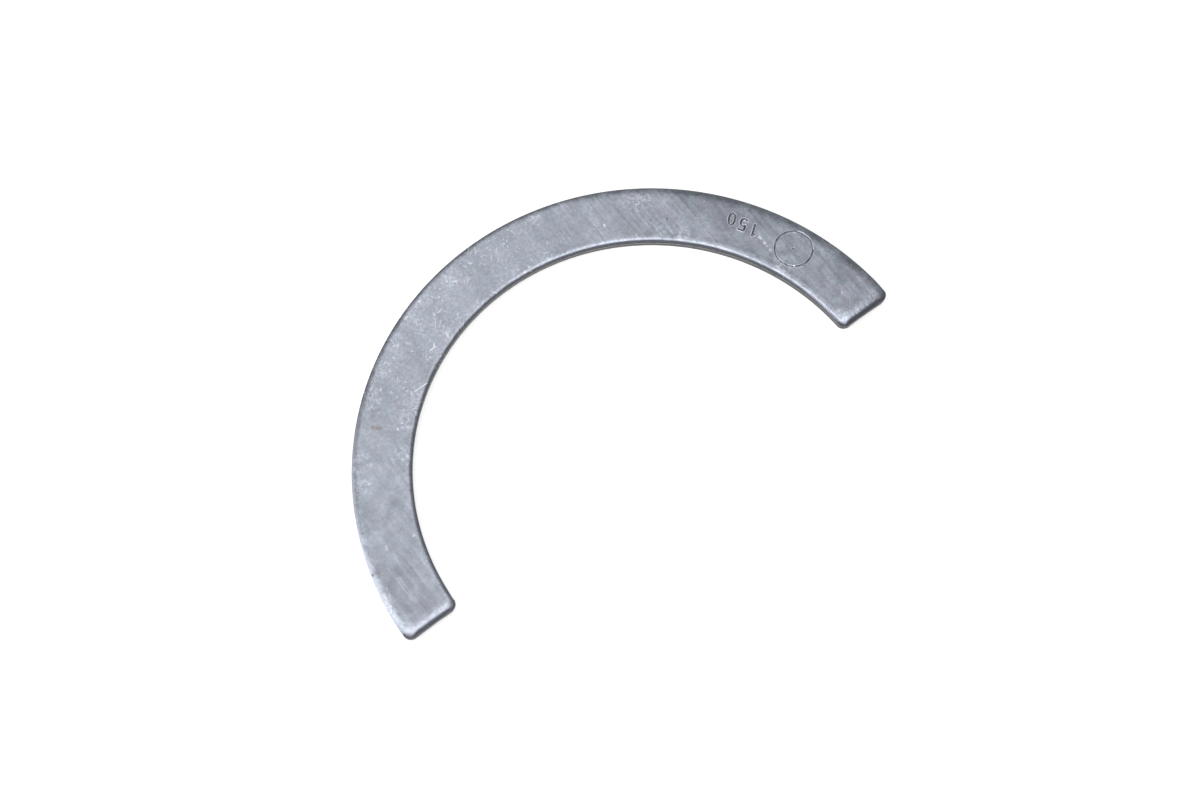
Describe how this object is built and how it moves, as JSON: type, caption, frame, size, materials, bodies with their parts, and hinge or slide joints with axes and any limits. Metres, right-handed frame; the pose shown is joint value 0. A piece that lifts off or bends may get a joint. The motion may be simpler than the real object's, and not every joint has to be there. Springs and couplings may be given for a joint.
{
  "type": "half thrust washer",
  "caption": "Flat half ring of sheet steel that takes a shaft's end thrust; blanked edges rolled on the upper side, torn on the underside.",
  "frame": {"origin": "under the middle of the washer's box, on the surface that it rests on; the ring's own axis is at x 0, y -0.037625", "axes": "+X along the straight ends, +Y from the open side to the crown, +Z out of the rolled, smooth face"},
  "size_m": [0.15, 0.0748, 0.0034],
  "materials": {
    "steel": "satin ground sheet steel, scuffed, with a trace of rust"
  },
  "bodies": {
    "root": {"half_ring": "steel"}
  },
  "joints": []
}
